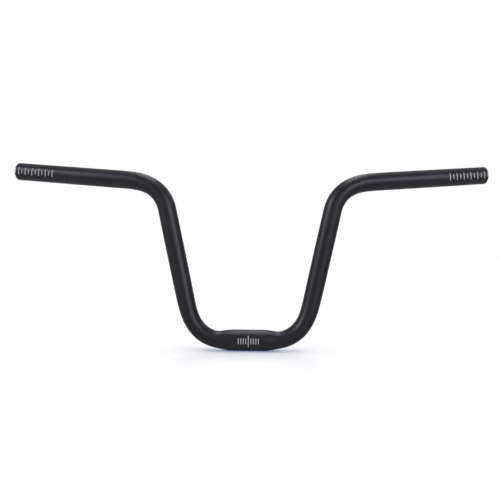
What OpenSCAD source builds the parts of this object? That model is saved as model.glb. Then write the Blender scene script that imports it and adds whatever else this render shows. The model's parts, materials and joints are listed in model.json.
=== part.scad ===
// A one-piece high-rise handlebar: one aluminium tube, swelled at the clamp, with four bends and two
// open ends. The origin is the middle of the clamp. X runs along the clamp, Y points back to the rider
// and Z points up. All sizes are in millimetres and all angles in degrees.

/* [Overall size] */
// Width over the outer edges of the two open ends
overall_width = 610; // [580:5:640]
// Height of the middle of each open end above the clamp's axis
rise = 209; // [195:1:225]
// Distance between the two points where the uprights' lines meet the clamp's axis
base_width = 132; // [128:1:138]

/* [Angles] */
// How far each upright leans outwards from vertical
upright_lean = 12.3; // [10:0.1:14]
// How far each grip sweeps back to the rider
backsweep = 16.3; // [8:0.1:20]
// How far each grip climbs towards its open end
upsweep = 5.3; // [1:0.1:8]

/* [Tube] */
// Outer diameter of the tube, which the grips and levers fit
tube_d = 22.2; // [22:0.1:22.4]
// Wall of the tube
tube_wall = 2.2; // [1.8:0.1:2.6]
// How much slimmer bending leaves the tube round its four bends
bend_draw = 0.04; // [0.04:0.01:0.1]

/* [Clamp] */
// Outer diameter of the swelled middle that the stem clamps
clamp_d = 25.4; // [25:0.1:25.8]
// Wall of the swelled middle
clamp_wall = 2.6; // [2.4:0.1:3]
// Length of the swelled middle's straight wall
clamp_width = 48; // [44:1:50]
// Length of the taper from the swelled middle to the tube, on each side
taper_length = 8; // [7:0.5:9]

/* [Bends] */
// Radius of the two lower bends, on the tube's centreline
lower_bend_r = 47; // [45:0.5:48]
// Radius of the two upper bends, on the tube's centreline
upper_bend_r = 48; // [44:0.5:52]

/* [Open ends] */
// Chamfer round the outside of each open end
outer_chamfer = 0.6; // [0.2:0.1:0.8]
// Chamfer round the bore's mouth
bore_chamfer = 0.5; // [0.2:0.1:0.8]

/* [Hidden] */
$fn = 96;
// How far each bend runs on inside its neighbours, and the bore runs on past the open ends
lap = 1;

tube_r = tube_d / 2;
bore_r = tube_r - tube_wall;
clamp_r = clamp_d / 2;

// Headings of the right-hand upright and grip
upright = [sin(upright_lean), 0, cos(upright_lean)];
grip = [
  cos(backsweep) * cos(upsweep),
  sin(backsweep) * cos(upsweep),
  sin(upsweep)
];

// Turns of the two bends, and the turn round the upright that aims the upper bend back
lower_turn = 90 - upright_lean;
upper_turn = acos(grip * upright);
inward = [-cos(upright_lean), 0, sin(upright_lean)];
upper_aim = atan2(-grip.y, grip * inward);

// The end's middle lies inside the overall width, because its face is turned back and up
end_x = overall_width / 2 - (tube_r - outer_chamfer) * sqrt(1 - grip.x * grip.x);
reach = end_x - base_width / 2;

// Lengths between the corner points, from the width and the rise that the upright and the grip share
spread = upright.x * grip.z - upright.z * grip.x;
upright_span = (reach * grip.z - rise * grip.x) / spread;
grip_span = (upright.x * rise - upright.z * reach) / spread;

// Each bend takes this much off the straights beside it
lower_corner = lower_bend_r * tan(lower_turn / 2);
upper_corner = upper_bend_r * tan(upper_turn / 2);
base_straight = base_width / 2 - lower_corner;
upright_straight = upright_span - lower_corner - upper_corner;
grip_straight = grip_span - upper_corner;

// The taper's slope, which the bore's own taper shares
taper_slope = (clamp_r - tube_r) / taper_length;

// A straight stretch from the origin along X
module straight(length, r)
  rotate([0, 90, 0])
    cylinder(r = r, h = length);

// A bend that starts at the origin along X and turns towards Y, with a lap at each end
module bend(bend_r, turn, r) {
  lap_turn = lap / bend_r * 180 / PI;
  translate([0, bend_r, 0])
    rotate([0, 0, -90 - lap_turn])
      rotate_extrude(angle = turn + 2 * lap_turn)
        translate([bend_r, 0])
          circle(r = r);
}

// Places its children where that bend ends
module past_bend(bend_r, turn)
  translate([0, bend_r, 0])
    rotate([0, 0, turn])
      translate([0, -bend_r, 0])
        children();

// The right half as a solid rod of radius r; its children stand where the grip starts
module half_rod(r) {
  rotate([90, 0, 0]) {
    straight(base_straight, r);
    translate([base_straight, 0, 0]) {
      bend(lower_bend_r, lower_turn, r - bend_draw);
      past_bend(lower_bend_r, lower_turn) {
        straight(upright_straight, r);
        translate([upright_straight, 0, 0])
          rotate([upper_aim, 0, 0]) {
            bend(upper_bend_r, upper_turn, r - bend_draw);
            past_bend(upper_bend_r, upper_turn)
              children();
          }
      }
    }
  }
}

// The swelled middle as a solid of radius r, whose tapers run on until they lie inside the tube
module swell(r, half_width, tube_r) {
  taper = (r - tube_r) / taper_slope + taper_length / 2;
  for (side = [0, 1])
    mirror([side, 0, 0]) {
      straight(half_width, r);
      translate([half_width, 0, 0])
        rotate([0, 90, 0])
          cylinder(r1 = r, r2 = r - taper * taper_slope, h = taper);
    }
}

// The outside of a grip, from the upper bend to its chamfered end
module grip_outside() {
  length = grip_straight - outer_chamfer;
  straight(length, tube_r);
  translate([length, 0, 0])
    rotate([0, 90, 0])
      cylinder(r1 = tube_r, r2 = tube_r - outer_chamfer, h = outer_chamfer);
}

// The bore of a grip, whose mouth opens at 45 degrees and runs on past the end
module grip_bore() {
  straight(grip_straight + lap, bore_r);
  translate([grip_straight - bore_chamfer, 0, 0])
    rotate([0, 90, 0])
      cylinder(r1 = bore_r, r2 = bore_r + bore_chamfer + lap, h = bore_chamfer + lap);
}

module handlebar()
  color("#29272c")
    difference() {
      union() {
        swell(clamp_r, clamp_width / 2, tube_r);
        for (side = [0, 1])
          mirror([side, 0, 0])
            half_rod(tube_r)
              grip_outside();
      }
      union() {
        swell(clamp_r - clamp_wall, clamp_width / 2 - 1, bore_r);
        for (side = [0, 1])
          mirror([side, 0, 0])
            half_rod(bore_r)
              grip_bore();
      }
    }

handlebar();
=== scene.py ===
import json
import math

import bpy
from mathutils import Matrix, Vector


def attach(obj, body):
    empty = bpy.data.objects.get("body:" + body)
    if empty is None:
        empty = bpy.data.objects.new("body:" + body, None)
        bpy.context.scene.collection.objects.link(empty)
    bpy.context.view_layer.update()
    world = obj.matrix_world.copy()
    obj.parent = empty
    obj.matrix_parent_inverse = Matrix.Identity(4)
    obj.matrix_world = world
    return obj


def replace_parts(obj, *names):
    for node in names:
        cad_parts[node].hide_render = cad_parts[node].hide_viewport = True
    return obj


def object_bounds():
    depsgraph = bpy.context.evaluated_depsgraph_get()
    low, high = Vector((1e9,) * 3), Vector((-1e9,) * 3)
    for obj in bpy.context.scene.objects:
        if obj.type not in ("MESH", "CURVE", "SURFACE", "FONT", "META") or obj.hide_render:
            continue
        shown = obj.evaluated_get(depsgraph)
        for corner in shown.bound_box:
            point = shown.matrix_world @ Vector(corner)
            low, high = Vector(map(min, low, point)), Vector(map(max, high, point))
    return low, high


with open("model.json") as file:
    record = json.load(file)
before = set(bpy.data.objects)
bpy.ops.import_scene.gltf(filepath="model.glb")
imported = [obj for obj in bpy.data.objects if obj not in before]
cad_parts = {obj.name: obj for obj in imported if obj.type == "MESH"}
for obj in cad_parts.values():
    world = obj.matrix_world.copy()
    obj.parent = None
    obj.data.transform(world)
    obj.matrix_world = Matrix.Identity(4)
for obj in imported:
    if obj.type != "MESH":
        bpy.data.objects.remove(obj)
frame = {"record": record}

# A one-piece high-rise handlebar: one aluminium tube, swelled at the clamp, with four bends, two
# open ends and three scales of marks

CAD_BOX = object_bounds()
MM = 0.001
NODE = "handlebar"
BODY = "root"

# Sizes that the frame doesn't hold, in metres
BASE_WIDTH = 132 * MM
CLAMP_WALL = 2.6 * MM
OUTER_CHAMFER = 0.6 * MM
BORE_CHAMFER = 0.5 * MM

# The swell fades between these distances from the bar's middle, with soft shoulders
SWELL_FADE = (18 * MM, 37 * MM)
# A bend is tightest where the bender's die held the tube, and trails off where the wiper let it go
LOWER_BEND = {"tightest_r": 40 * MM, "ease_in": 10 * MM, "ease_out": 58 * MM}
UPPER_BEND = {"tightest_r": 41 * MM, "ease_in": 4 * MM, "ease_out": 64 * MM}
# Bending leaves the tube narrower in the bend's plane, at most by this share of its width, and the
# straights beside the bend keep some of it. The distances are walked along the bar from its middle.
LOWER_SQUASH = {
    "most": 0.084,
    "starts": 27 * MM,
    "full": 43 * MM,
    "wanes": 74 * MM,
    "gone": 141 * MM,
}
UPPER_SQUASH = {
    "most": 0.047,
    "starts": 200 * MM,
    "full": 255 * MM,
    "wanes": 255 * MM,
    "gone": 312 * MM,
}
# How much of that width comes out again sideways
SIDEWAYS_BULGE = 0.5

# The studio's soft lamps: heading, elevation and width in degrees, and power. Heading 0 is the
# camera's side, and headings turn to its right. This one, low behind the bar, lights only what
# scatters light: the paper and the marks.
PAPER_SOFTBOXES = {
    "low_back_softbox": (178, 15, 28, 2.0),
}
# These show only as bands along the metal, so that no long shadows lie beside the bar
METAL_SOFTBOXES = {
    "left_softbox": (-66, 31, 20, 2.3),
    "low_left_softbox": (-66, 10, 44, 1.3),
    "right_softbox": (44, 17, 36, 2.4),
    "low_right_softbox": (30, 8, 44, 0.5),
    "overhead_softbox": (180, 88, 26, 2.0),
    "back_strip": (178, 60, 14, 1.1),
    "back_right_softbox": (120, 40, 24, 0.5),
    "table_glow": (-12, -58, 84, 6.0),
}
# Light from all round, for surfaces that scatter it
AMBIENT = 0.96
# How bright the open floor is, a little past white, and how much of that the camera sees even in
# full shadow, as red, green and blue
FLOOR_EXPOSURE = 1.09
FLOOR_SHOWN = (0.0, 0.03, 0.16)
# In metres, so that its edges are far past what any view shows
FLOOR_HALF_WIDTH = 20.0

# Spacing of the tube's rings, and the number of flats round it
STRAIGHT_STEP = 6 * MM
BEND_STEP = 1.8 * MM
SWELL_STEP = 1 * MM
SIDES = 80
# Points closer than this are one, and edges sharper than this angle stay crisp, as at the lips
WELD_DISTANCE = 0.001 * MM
CREASE_ANGLE = math.radians(25)

# The marks lie a hair proud of the tube, and reach into it so that no gap can open under them. Each
# one follows the tube's curve in flats.
MARK_PROUD = 0.03 * MM
MARK_SUNK = 0.15 * MM
MARK_STROKE = 0.95 * MM
MARK_FLATS = 16
# The scales run from each open end inwards and across the clamp. Their marks are counted from 0.
END_SCALE = {
    "Marks": 12,
    "Pitch": 5 * MM,
    "Long Mark": 9.2 * MM,
    "Short Mark": 5.9 * MM,
    "First Long": 1,
    "Long Every": 2,
}
END_SCALE_START = 1.25 * MM
CLAMP_SCALE = {
    "Marks": 9,
    "Pitch": 3 * MM,
    "Long Mark": 14 * MM,
    "Short Mark": 7 * MM,
    "First Long": 4,
    "Long Every": 5,
}


def linear(hex_colour):
    """An sRGB hex colour as linear RGBA."""
    channels = []
    for place in (1, 3, 5):
        value = int(hex_colour[place:place + 2], 16) / 255
        channels.append(value / 12.92 if value <= 0.04045 else ((value + 0.055) / 1.055) ** 2.4)
    return (*channels, 1.0)


def add_node(tree, kind, links=None, **settings):
    """Adds a node, sets what it is given and links or fills its inputs, by name or by number."""
    node = tree.nodes.new(kind)
    for name, value in settings.items():
        setattr(node, name, value)
    for name, value in (links or {}).items():
        if isinstance(value, bpy.types.NodeSocket):
            tree.links.new(value, node.inputs[name])
        else:
            node.inputs[name].default_value = value
    return node


def smooth_step(value, low, high):
    """0 below low, 1 above high and an even S between them."""
    share = min(max((value - low) / (high - low), 0.0), 1.0)
    return share * share * (3 - 2 * share)


# The bar's own lines and sizes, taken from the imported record's mounts
MOUNTS = {mount["name"]: mount for mount in frame["record"]["mounts"]}


def mount_size(name, size):
    """One of a mount's sizes, in metres."""
    return MOUNTS[name]["dims"][size] * MM


CLAMP_R = mount_size("stem_clamp", "r_mm")
TUBE_R = mount_size("grip_plus_x", "r_mm")
TUBE_WALL = TUBE_R - mount_size("end_bore_plus_x", "r_mm")
GRIP = Vector(MOUNTS["grip_plus_x"]["axis"]).normalized()
GRIP_MIDDLE = Vector(MOUNTS["grip_plus_x"]["pos_m"])
GRIP_HALF = mount_size("grip_plus_x", "length_mm") / 2
GRIP_START = GRIP_MIDDLE - GRIP * GRIP_HALF
GRIP_LENGTH = 2 * GRIP_HALF + OUTER_CHAMFER

# The grip's line meets the uprights' plane at the upper corner
BASE = Vector((1, 0, 0))
LOWER_CORNER = BASE * BASE_WIDTH / 2
UPPER_CORNER = GRIP_START - GRIP * (GRIP_START.y / GRIP.y)
UPRIGHT = (UPPER_CORNER - LOWER_CORNER).normalized()


class Bend:
    """A bend of a given turn, as equal steps that each turn a little.

    It eases in and out. It knows how much it takes off the straights before and after it, so that
    they stay on their own lines."""

    def __init__(self, turn, tightest_r, ease_in, ease_out):
        length = tightest_r * turn + (ease_in + ease_out) / 2
        count = round(length / BEND_STEP)
        self.step = length / count
        shares = []
        for index in range(count):
            done = (index + 0.5) * self.step
            eased_in = smooth_step(done, 0, ease_in)
            eased_out = smooth_step(length - done, 0, ease_out)
            shares.append(eased_in * eased_out)
        self.turns = [turn * share / sum(shares) for share in shares]
        along = 0.0
        across = 0.0
        angle = 0.0
        for part in self.turns:
            along += self.step * math.cos(angle + part / 2)
            across += self.step * math.sin(angle + part / 2)
            angle += part
        self.cut_after = across / math.sin(turn)
        self.cut_before = along - across / math.tan(turn)


class Route:
    """Walks the bar's centreline from its middle to the right-hand end, with a ring at each step.

    A ring has its centre, two directions across the tube that never twist, the direction that
    bending squashes it in, how much it is squashed and how much it swells."""

    def __init__(self):
        self.centre = Vector((0, 0, 0))
        self.heading = BASE.copy()
        self.front = Vector((0, -1, 0))
        self.top = Vector((0, 0, 1))
        self.hinge = None
        self.squash = None
        self.walked = 0.0
        self.rings = []

    def lie_beside(self, towards, squash):
        """What follows lies in the plane of the bend that turns this way, and shares its squash."""
        self.hinge = self.heading.cross(towards).normalized()
        self.squash = squash

    def note(self):
        """Notes a ring where the walk stands. The squash comes softly and goes quickly at first."""
        comes = smooth_step(self.walked, self.squash["starts"], self.squash["full"])
        waning = self.walked - self.squash["wanes"]
        left = 1 - min(max(waning / (self.squash["gone"] - self.squash["wanes"]), 0.0), 1.0)
        self.rings.append({
            "centre": self.centre.copy(),
            "front": self.front.copy(),
            "top": self.top.copy(),
            "inward": self.hinge.cross(self.heading),
            "squash": self.squash["most"] * comes * left * left,
            "swell": 1 - smooth_step(self.walked, *SWELL_FADE),
        })

    def go(self, length):
        """Moves on along the heading."""
        self.centre = self.centre + self.heading * length
        self.walked += length

    def turn(self, angle):
        """Turns the heading in the bend's plane, with the two directions across the tube."""
        turned = Matrix.Rotation(angle, 3, self.hinge)
        self.heading = turned @ self.heading
        self.front = turned @ self.front
        self.top = turned @ self.top

    def straight(self, length, step):
        """A straight stretch, with rings about a step apart."""
        count = max(1, round(length / step))
        for _ in range(count):
            self.go(length / count)
            self.note()

    def follow(self, bend):
        """A whole bend, with a ring after each of its small turns."""
        for part in bend.turns:
            self.turn(part / 2)
            self.go(bend.step)
            self.turn(part / 2)
            self.note()


def right_half():
    """The rings from the bar's middle to its right-hand end."""
    lower = Bend(BASE.angle(UPRIGHT), **LOWER_BEND)
    upper = Bend(UPRIGHT.angle(GRIP), **UPPER_BEND)
    base = BASE_WIDTH / 2 - lower.cut_before
    upright = (UPPER_CORNER - LOWER_CORNER).length - lower.cut_after - upper.cut_before
    grip = (GRIP_START - UPPER_CORNER).length + GRIP_LENGTH - upper.cut_after
    route = Route()
    route.lie_beside(UPRIGHT, LOWER_SQUASH)
    route.note()
    route.straight(SWELL_FADE[0], STRAIGHT_STEP)
    route.straight(base - SWELL_FADE[0], SWELL_STEP)
    route.follow(lower)
    route.straight(upright / 2, STRAIGHT_STEP)
    route.lie_beside(GRIP, UPPER_SQUASH)
    route.straight(upright / 2, STRAIGHT_STEP)
    route.follow(upper)
    route.straight(grip - OUTER_CHAMFER, STRAIGHT_STEP)
    route.straight(OUTER_CHAMFER, OUTER_CHAMFER)
    return route.rings


def mirrored(ring):
    """The ring on the bar's left-hand half."""
    flip = Vector((-1, 1, 1))
    twin = dict(ring)
    for key in ("centre", "front", "top", "inward"):
        twin[key] = ring[key] * flip
    return twin


def whole_loop():
    """Rings along the outside from left to right, then back through the bore."""
    half = right_half()
    outside = [dict(ring, bore=0.0, trim=0.0) for ring in half]
    outside[-1]["trim"] = -OUTER_CHAMFER
    bore = [dict(ring, bore=1.0, trim=0.0) for ring in half]
    mouth = dict(bore[-1], trim=BORE_CHAMFER)
    bore[-1]["centre"] = mouth["centre"] - GRIP * BORE_CHAMFER
    bore.append(mouth)
    outside = [mirrored(ring) for ring in reversed(outside[1:])] + outside
    bore = [mirrored(ring) for ring in reversed(bore[1:])] + bore
    return outside + bore[::-1]


def points_with_values(name, rings):
    """A mesh of loose points, one for each ring, that carries the rings' values as attributes."""
    mesh = bpy.data.meshes.new(name)
    mesh.from_pydata([ring["centre"] for ring in rings], [], [])
    for key in ("front", "top", "inward"):
        layer = mesh.attributes.new(key, "FLOAT_VECTOR", "POINT")
        layer.data.foreach_set("vector", [value for ring in rings for value in ring[key]])
    for key in ("squash", "swell", "bore", "trim"):
        layer = mesh.attributes.new(key, "FLOAT", "POINT")
        layer.data.foreach_set("value", [ring[key] for ring in rings])
    return mesh


def new_tree(name, inputs):
    """A geometry tree with named inputs. Returns the tree, its input node and its output node."""
    tree = bpy.data.node_groups.new(name, "GeometryNodeTree")
    tree.interface.new_socket("Geometry", in_out="INPUT", socket_type="NodeSocketGeometry")
    for label, kind in inputs.items():
        tree.interface.new_socket(label, in_out="INPUT", socket_type=kind)
    tree.interface.new_socket("Geometry", in_out="OUTPUT", socket_type="NodeSocketGeometry")
    return tree, tree.nodes.new("NodeGroupInput"), tree.nodes.new("NodeGroupOutput")


def end_tree(tree, given, output, geometry):
    """Ends a tree in real geometry with its material."""
    real = add_node(tree, "GeometryNodeRealizeInstances", {"Geometry": geometry})
    painted = add_node(tree, "GeometryNodeSetMaterial", {
        "Geometry": real.outputs["Geometry"],
        "Material": given.outputs["Material"],
    })
    tree.links.new(painted.outputs["Geometry"], output.inputs["Geometry"])


def run_tree(name, mesh, tree, values):
    """Runs a geometry tree on a mesh and returns the result as an object with a plain mesh."""
    piece = bpy.data.objects.new(name, mesh)
    bpy.context.scene.collection.objects.link(piece)
    modifier = piece.modifiers.new("Shape", "NODES")
    modifier.node_group = tree
    sockets = {
        item.name: item.identifier
        for item in tree.interface.items_tree
        if item.item_type == "SOCKET" and item.in_out == "INPUT"
    }
    for label, value in values.items():
        modifier[sockets[label]] = value
    evaluated = piece.evaluated_get(bpy.context.evaluated_depsgraph_get())
    plain = bpy.data.meshes.new_from_object(evaluated)
    piece.modifiers.remove(modifier)
    piece.data = plain
    bpy.data.meshes.remove(mesh)
    plain.name = name
    return piece


def maths(tree, operation, first, second=0.0):
    """One step of arithmetic, as a number."""
    return add_node(tree, "ShaderNodeMath", {0: first, 1: second}, operation=operation).outputs[0]


def vector_maths(tree, operation, first, second):
    """One step of arithmetic on vectors. A scale takes a number, and a dot product gives one."""
    place = "Scale" if operation == "SCALE" else 1
    node = add_node(tree, "ShaderNodeVectorMath", {0: first, place: second}, operation=operation)
    return node.outputs["Value" if operation == "DOT_PRODUCT" else "Vector"]


def mixed(tree, share, first, second):
    """A number between two others, as far along as the share says."""
    node = add_node(tree, "ShaderNodeMix", {"Factor": share, "A": first, "B": second})
    return node.outputs["Result"]


def tube_tree():
    """Skins the route's points with rings and joins outside, lips and bore into one closed wall."""
    tree, given, output = new_tree("Tube wall along a route", {
        "Sides": "NodeSocketInt",
        "Tube Radius": "NodeSocketFloat",
        "Clamp Radius": "NodeSocketFloat",
        "Tube Wall": "NodeSocketFloat",
        "Clamp Wall": "NodeSocketFloat",
        "Sideways Bulge": "NodeSocketFloat",
        "Weld Distance": "NodeSocketFloat",
        "Crease Angle": "NodeSocketFloat",
        "Material": "NodeSocketMaterial",
    })
    route = given.outputs["Geometry"]
    sides = given.outputs["Sides"]
    route_size = add_node(tree, "GeometryNodeAttributeDomainSize", {"Geometry": route})
    ring_count = route_size.outputs["Point Count"]
    # One row and one column more than needed, which are welded to the first ones
    columns = maths(tree, "ADD", sides, 1)
    sheet = add_node(tree, "GeometryNodeMeshGrid", {
        "Vertices X": maths(tree, "ADD", ring_count, 1),
        "Vertices Y": columns,
    })

    # Which ring and which place round it a point of the sheet belongs to. The half keeps its row's
    # number clear of rounding.
    number = add_node(tree, "GeometryNodeInputIndex").outputs["Index"]
    row = maths(tree, "FLOOR", maths(tree, "DIVIDE", maths(tree, "ADD", number, 0.5), columns))
    column = maths(tree, "SUBTRACT", number, maths(tree, "MULTIPLY", row, columns))
    ring = maths(tree, "FLOORED_MODULO", row, ring_count)
    angle = maths(tree, "DIVIDE", maths(tree, "MULTIPLY", column, math.tau), sides)

    def at_ring(value, kind):
        """A value of the route's points, read at the ring that this point belongs to."""
        sample = add_node(tree, "GeometryNodeSampleIndex", {
            "Geometry": route,
            "Value": value,
            "Index": ring,
        }, data_type=kind)
        return sample.outputs["Value"]

    def noted(name, kind):
        """One of the values that the route noted, read in the same way."""
        stored = add_node(tree, "GeometryNodeInputNamedAttribute", {"Name": name}, data_type=kind)
        return at_ring(stored.outputs["Attribute"], kind)

    place = add_node(tree, "GeometryNodeInputPosition").outputs["Position"]
    centre = at_ring(place, "FLOAT_VECTOR")
    front = noted("front", "FLOAT_VECTOR")
    top = noted("top", "FLOAT_VECTOR")
    inward = noted("inward", "FLOAT_VECTOR")
    squash = noted("squash", "FLOAT")
    swell = noted("swell", "FLOAT")
    bore = noted("bore", "FLOAT")
    trim = noted("trim", "FLOAT")

    # Out from the centre, less what the bend squashes in its own plane, plus what bulges sideways
    forward_part = vector_maths(tree, "SCALE", front, maths(tree, "COSINE", angle))
    upward_part = vector_maths(tree, "SCALE", top, maths(tree, "SINE", angle))
    outward = vector_maths(tree, "ADD", forward_part, upward_part)
    share_in_plane = vector_maths(tree, "DOT_PRODUCT", outward, inward)
    in_plane = vector_maths(tree, "SCALE", inward, share_in_plane)
    sideways = vector_maths(tree, "SUBTRACT", outward, in_plane)
    bulge = maths(tree, "MULTIPLY", squash, given.outputs["Sideways Bulge"])
    squashed_away = vector_maths(tree, "SCALE", in_plane, squash)
    bulged_out = vector_maths(tree, "SCALE", sideways, bulge)
    narrowed = vector_maths(tree, "SUBTRACT", outward, squashed_away)
    shape = vector_maths(tree, "ADD", narrowed, bulged_out)

    # The radius here: tube or swelled clamp, less the wall in the bore, and the chamfers' trim
    outer = mixed(tree, swell, given.outputs["Tube Radius"], given.outputs["Clamp Radius"])
    wall = mixed(tree, swell, given.outputs["Tube Wall"], given.outputs["Clamp Wall"])
    inner = maths(tree, "SUBTRACT", outer, maths(tree, "MULTIPLY", wall, bore))
    radius = maths(tree, "ADD", inner, trim)
    position = vector_maths(tree, "ADD", centre, vector_maths(tree, "SCALE", shape, radius))

    skinned = add_node(tree, "GeometryNodeSetPosition", {
        "Geometry": sheet.outputs["Mesh"],
        "Position": position,
    })
    welded = add_node(tree, "GeometryNodeMergeByDistance", {
        "Geometry": skinned.outputs["Geometry"],
        "Distance": given.outputs["Weld Distance"],
    })
    rounded = add_node(tree, "GeometryNodeSetShadeSmooth", {
        "Geometry": welded.outputs["Geometry"],
        "Shade Smooth": True,
    }, domain="FACE")
    edge_angle = add_node(tree, "GeometryNodeInputMeshEdgeAngle").outputs["Unsigned Angle"]
    crease = maths(tree, "GREATER_THAN", edge_angle, given.outputs["Crease Angle"])
    creased = add_node(tree, "GeometryNodeSetShadeSmooth", {
        "Geometry": rounded.outputs["Geometry"],
        "Selection": crease,
        "Shade Smooth": False,
    }, domain="EDGE")
    end_tree(tree, given, output, creased.outputs["Geometry"])
    return tree


def marks_tree():
    """A row of marks along X that curve round a tube of the given radius, facing -Y."""
    tree, given, output = new_tree("Scale of marks round a tube", {
        "Marks": "NodeSocketInt",
        "Pitch": "NodeSocketFloat",
        "Stroke": "NodeSocketFloat",
        "Long Mark": "NodeSocketFloat",
        "Short Mark": "NodeSocketFloat",
        "First Long": "NodeSocketInt",
        "Long Every": "NodeSocketInt",
        "Radius": "NodeSocketFloat",
        "Proud": "NodeSocketFloat",
        "Sunk": "NodeSocketFloat",
        "Material": "NodeSocketMaterial",
    })
    pitch = add_node(tree, "ShaderNodeCombineXYZ", {"X": given.outputs["Pitch"]})
    row = add_node(tree, "GeometryNodeMeshLine", {
        "Count": given.outputs["Marks"],
        "Offset": pitch.outputs["Vector"],
    }, mode="OFFSET")
    proud = given.outputs["Proud"]
    sunk = given.outputs["Sunk"]
    thickness = maths(tree, "ADD", proud, sunk)
    size = add_node(tree, "ShaderNodeCombineXYZ", {
        "X": given.outputs["Stroke"],
        "Y": 1.0,
        "Z": thickness,
    })
    mark = add_node(tree, "GeometryNodeMeshCube", {
        "Size": size.outputs["Vector"],
        "Vertices X": 2,
        "Vertices Y": MARK_FLATS + 1,
        "Vertices Z": 2,
    })

    # From the first long mark on, every so many marks one is long
    number = add_node(tree, "GeometryNodeInputIndex").outputs["Index"]
    counted = maths(tree, "SUBTRACT", number, given.outputs["First Long"])
    place_in_group = maths(tree, "FLOORED_MODULO", counted, given.outputs["Long Every"])
    is_short = maths(tree, "GREATER_THAN", place_in_group, 0.5)
    length = mixed(tree, is_short, given.outputs["Long Mark"], given.outputs["Short Mark"])
    stretch = add_node(tree, "ShaderNodeCombineXYZ", {"X": 1.0, "Y": length, "Z": 1.0})
    placed = add_node(tree, "GeometryNodeInstanceOnPoints", {
        "Points": row.outputs["Mesh"],
        "Instance": mark.outputs["Mesh"],
        "Scale": stretch.outputs["Vector"],
    })
    flat = add_node(tree, "GeometryNodeRealizeInstances", {
        "Geometry": placed.outputs["Instances"],
    })

    # Y becomes the way round the tube and Z the height over its skin
    position = add_node(tree, "GeometryNodeInputPosition").outputs["Position"]
    here = add_node(tree, "ShaderNodeSeparateXYZ", {"Vector": position})
    middle = maths(tree, "MULTIPLY", maths(tree, "SUBTRACT", proud, sunk), 0.5)
    height = maths(tree, "ADD", here.outputs["Z"], middle)
    radius = maths(tree, "ADD", given.outputs["Radius"], height)
    angle = maths(tree, "DIVIDE", here.outputs["Y"], given.outputs["Radius"])
    forward = maths(tree, "MULTIPLY", radius, maths(tree, "COSINE", angle))
    wrapped = add_node(tree, "ShaderNodeCombineXYZ", {
        "X": here.outputs["X"],
        "Y": maths(tree, "MULTIPLY", forward, -1.0),
        "Z": maths(tree, "MULTIPLY", radius, maths(tree, "SINE", angle)),
    })
    curved = add_node(tree, "GeometryNodeSetPosition", {
        "Geometry": flat.outputs["Geometry"],
        "Position": wrapped.outputs["Vector"],
    })
    outward = add_node(tree, "GeometryNodeFlipFaces", {"Mesh": curved.outputs["Geometry"]})
    end_tree(tree, given, output, outward.outputs["Mesh"])
    return tree


def bead_blasted_black_anodised_aluminium():
    """Aluminium blasted with fine glass beads, then anodised and dyed black.

    The beads leave a fine, even pitting that turns every reflection into a soft glow. The dyed
    oxide makes that glow near-black with a faint violet cast, and takes a little unevenly."""
    material = bpy.data.materials.new("bead_blasted_black_anodised_aluminium")
    material.use_nodes = True
    tree = material.node_tree
    shader = tree.nodes["Principled BSDF"]
    place = add_node(tree, "ShaderNodeTexCoord").outputs["Object"]

    # Dye clouds about 60 mm across
    cloud_size = 60 * MM
    clouds = add_node(tree, "ShaderNodeTexNoise", {
        "Vector": place,
        "Scale": 1 / cloud_size,
        "Detail": 3.0,
        "Roughness": 0.55,
    })
    dye = add_node(tree, "ShaderNodeValToRGB", {"Fac": clouds.outputs["Fac"]})
    dye.color_ramp.elements[0].position = 0.3
    dye.color_ramp.elements[0].color = linear("#1f1e22")
    dye.color_ramp.elements[1].position = 0.7
    dye.color_ramp.elements[1].color = linear("#232226")

    # Real bead pits are about 0.1 mm, which no picture of the whole bar can show, so they are drawn
    # at 0.5 mm
    pit_size = 0.5 * MM
    pits = add_node(tree, "ShaderNodeTexNoise", {
        "Vector": place,
        "Scale": 1 / pit_size,
        "Detail": 2.0,
        "Roughness": 0.6,
    })
    sheen = add_node(tree, "ShaderNodeMapRange", {
        "Value": pits.outputs["Fac"],
        "From Min": 0.25,
        "From Max": 0.75,
        "To Min": 0.39,
        "To Max": 0.46,
    })
    relief = add_node(tree, "ShaderNodeBump", {
        "Height": pits.outputs["Fac"],
        "Strength": 0.35,
        "Distance": 0.02 * MM,
    })
    tree.links.new(dye.outputs["Color"], shader.inputs["Base Color"])
    tree.links.new(sheen.outputs["Result"], shader.inputs["Roughness"])
    tree.links.new(relief.outputs["Normal"], shader.inputs["Normal"])
    shader.inputs["Metallic"].default_value = 1.0
    # The dye also dims the glow at grazing angles
    shader.inputs["Specular Tint"].default_value = (0.75, 0.75, 0.75, 1.0)
    return material


def laser_marked_oxide():
    """Black anodising bleached by a laser.

    The beam leaves a dull, chalky grey that is a little uneven in its tone."""
    material = bpy.data.materials.new("laser_marked_oxide")
    material.use_nodes = True
    tree = material.node_tree
    shader = tree.nodes["Principled BSDF"]
    place = add_node(tree, "ShaderNodeTexCoord").outputs["Object"]

    # The beam's overlapping spots are about 0.2 mm across, and are drawn at 0.4 mm so that they
    # can show
    spot_size = 0.4 * MM
    spots = add_node(tree, "ShaderNodeTexNoise", {
        "Vector": place,
        "Scale": 1 / spot_size,
        "Detail": 2.0,
        "Roughness": 0.5,
    })
    bleach = add_node(tree, "ShaderNodeValToRGB", {"Fac": spots.outputs["Fac"]})
    bleach.color_ramp.elements[0].position = 0.3
    bleach.color_ramp.elements[0].color = linear("#93939b")
    bleach.color_ramp.elements[1].position = 0.6
    bleach.color_ramp.elements[1].color = linear("#ababb4")
    tree.links.new(bleach.outputs["Color"], shader.inputs["Base Color"])
    shader.inputs["Metallic"].default_value = 0.0
    shader.inputs["Roughness"].default_value = 0.7
    return material


BLACK_FINISH = bead_blasted_black_anodised_aluminium()
MARK_FINISH = laser_marked_oxide()


def fixed_to_bar(piece):
    """Every piece is fixed to the one body."""
    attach(piece, BODY)
    return piece


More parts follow.
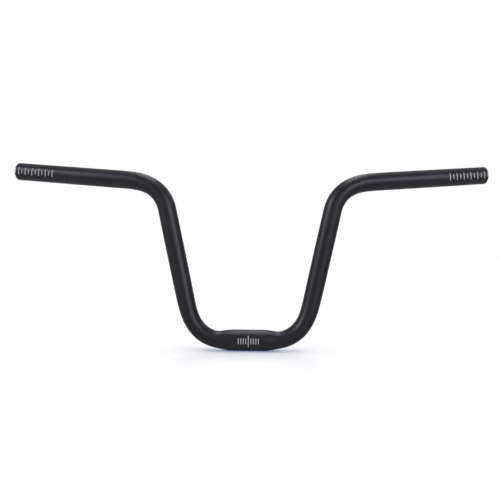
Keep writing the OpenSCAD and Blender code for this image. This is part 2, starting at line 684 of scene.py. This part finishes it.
def bent_bar():
    """The whole tube with its wall, lips and bore, in place of the plain node."""
    route = points_with_values("bar_route", whole_loop())
    piece = run_tree("bent_bar", route, tube_tree(), {
        "Sides": SIDES,
        "Tube Radius": TUBE_R,
        "Clamp Radius": CLAMP_R,
        "Tube Wall": TUBE_WALL,
        "Clamp Wall": CLAMP_WALL,
        "Sideways Bulge": SIDEWAYS_BULGE,
        "Weld Distance": WELD_DISTANCE,
        "Crease Angle": CREASE_ANGLE,
        "Material": BLACK_FINISH,
    })
    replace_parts(fixed_to_bar(piece), NODE)


def scale_of_marks(name, tree, scale, radius, place):
    """A row of marks that is made along X and then put in place on a tube of this radius."""
    piece = run_tree(name, bpy.data.meshes.new(name), tree, {
        **scale,
        "Radius": radius,
        "Stroke": MARK_STROKE,
        "Proud": MARK_PROUD,
        "Sunk": MARK_SUNK,
        "Material": MARK_FINISH,
    })
    piece.data.transform(place)
    fixed_to_bar(piece)


def placed_at(origin, along, front):
    """A place whose X runs along and whose -Y looks to the front, square to it."""
    along = along.normalized()
    back = -(front - along * front.dot(along)).normalized()
    turned = Matrix((along, back, along.cross(back))).transposed().to_4x4()
    return Matrix.Translation(origin) @ turned


def end_scales(tree):
    """The scale for trimming the bar or setting the levers, from each open end inwards."""
    end = GRIP_START + GRIP * GRIP_LENGTH
    front = Vector((GRIP.y, -GRIP.x, 0))
    for name, side in (("end_scale_plus_x", 1), ("end_scale_minus_x", -1)):
        flip = Vector((side, 1, 1))
        inward = -GRIP * flip
        start = end * flip + inward * END_SCALE_START
        place = placed_at(start, inward, front * flip)
        scale_of_marks(name, tree, END_SCALE, TUBE_R, place)


def clamp_scale(tree):
    """The scale for setting the bar square in its stem, with one long mark in the middle."""
    half_length = CLAMP_SCALE["Pitch"] * (CLAMP_SCALE["Marks"] - 1) / 2
    place = placed_at(-BASE * half_length, BASE, Vector((0, -1, 0)))
    scale_of_marks("clamp_scale", tree, CLAMP_SCALE, CLAMP_R, place)


def seen_directly(tree):
    """1 for rays from the camera and for reflected and refracted rays, 0 for scattered light."""
    path = add_node(tree, "ShaderNodeLightPath")
    glossy = path.outputs["Is Glossy Ray"]
    refracted = path.outputs["Is Transmission Ray"]
    either = maths(tree, "MAXIMUM", glossy, refracted)
    return maths(tree, "MAXIMUM", path.outputs["Is Camera Ray"], either)


def floor_colour():
    """The paper's colour, at which the open floor reaches its exposure in the light it gets."""
    light = AMBIENT
    for _, elevation, _, power in PAPER_SOFTBOXES.values():
        light += power * math.sin(math.radians(elevation)) / math.pi
    return [(FLOOR_EXPOSURE - shown) / light for shown in FLOOR_SHOWN]


def build_floor():
    """A plain pale floor that looks white to the camera and in the metal, and keeps the shadow."""
    level = CAD_BOX[0][2]
    mesh = bpy.data.meshes.new("floor")
    corners = []
    for x, y in ((-1, -1), (1, -1), (1, 1), (-1, 1)):
        corners.append((x * FLOOR_HALF_WIDTH, y * FLOOR_HALF_WIDTH, level))
    mesh.from_pydata(corners, [], [(0, 1, 2, 3)])
    floor = bpy.data.objects.new("floor", mesh)
    bpy.context.scene.collection.objects.link(floor)
    material = bpy.data.materials.new("matt_white_paper")
    material.use_nodes = True
    tree = material.node_tree
    tree.nodes.clear()
    lit = add_node(tree, "ShaderNodeBsdfDiffuse", {"Color": (*floor_colour(), 1.0)})
    shown = add_node(tree, "ShaderNodeEmission", {
        "Color": (*FLOOR_SHOWN, 1.0),
        "Strength": seen_directly(tree),
    })
    both = add_node(tree, "ShaderNodeAddShader", {
        0: lit.outputs["BSDF"],
        1: shown.outputs["Emission"],
    })
    add_node(tree, "ShaderNodeOutputMaterial", {"Surface": both.outputs["Shader"]})
    mesh.materials.append(material)
    # Light also comes up through the paper, so it doesn't hold back the glow on the underside
    floor.visible_shadow = False


def build_world():
    """White wherever it is seen or mirrored, and an even soft light everywhere else."""
    world = bpy.data.worlds.new("white_studio")
    bpy.context.scene.world = world
    world.use_nodes = True
    tree = world.node_tree
    background = tree.nodes["Background"]
    background.inputs["Color"].default_value = (1.0, 1.0, 1.0, 1.0)
    strength = mixed(tree, seen_directly(tree), AMBIENT, 1.0)
    tree.links.new(strength, background.inputs["Strength"])


def build_softboxes(softboxes, on_metal):
    """Distant lamps as wide as a softbox looks, so their light is soft and even over the bar.

    They show in the metal alone, or else light the paper and the marks alone."""
    for name, (heading, elevation, width, power) in softboxes.items():
        light = bpy.data.lights.new(name, "SUN")
        light.energy = power
        light.angle = math.radians(width)
        lamp = bpy.data.objects.new(name, light)
        lamp.visible_glossy = on_metal
        lamp.visible_diffuse = not on_metal
        bpy.context.scene.collection.objects.link(lamp)
        turn = Matrix.Rotation(math.radians(heading), 4, "Z")
        tilt = Matrix.Rotation(math.radians(90 - elevation), 4, "X")
        lamp.matrix_world = turn @ tilt


def build_camera():
    """The photograph's viewpoint, from the fit of the tube's outlines."""
    focal_pixels = 645.0
    picture_pixels = 500
    sensor = 36.0
    distance = 782.1 * MM
    height = 109.2 * MM
    offset = 1.9 * MM
    yaw = math.radians(0.71)
    pitch = math.radians(0.232)
    roll = math.radians(-0.58)
    camera = bpy.data.cameras.new("camera")
    camera.sensor_width = sensor
    camera.sensor_fit = "HORIZONTAL"
    camera.lens = focal_pixels / picture_pixels * sensor
    camera.clip_start = 0.01
    camera.clip_end = 100.0
    camera.dof.use_dof = False
    holder = bpy.data.objects.new("camera", camera)
    bpy.context.scene.collection.objects.link(holder)
    turned = (
        Matrix.Rotation(yaw, 4, "Z")
        @ Matrix.Rotation(pitch, 4, "X")
        @ Matrix.Rotation(roll, 4, "Y")
    )
    level = Matrix.Rotation(math.radians(90), 4, "X")
    holder.matrix_world = turned @ Matrix.Translation((offset, -distance, height)) @ level
    bpy.context.scene.camera = holder


bent_bar()
MARKS_TREE = marks_tree()
end_scales(MARKS_TREE)
clamp_scale(MARKS_TREE)
build_floor()
build_world()
build_softboxes(PAPER_SOFTBOXES, on_metal=False)
build_softboxes(METAL_SOFTBOXES, on_metal=True)
build_camera()
bpy.context.scene.view_settings.view_transform = "Standard"
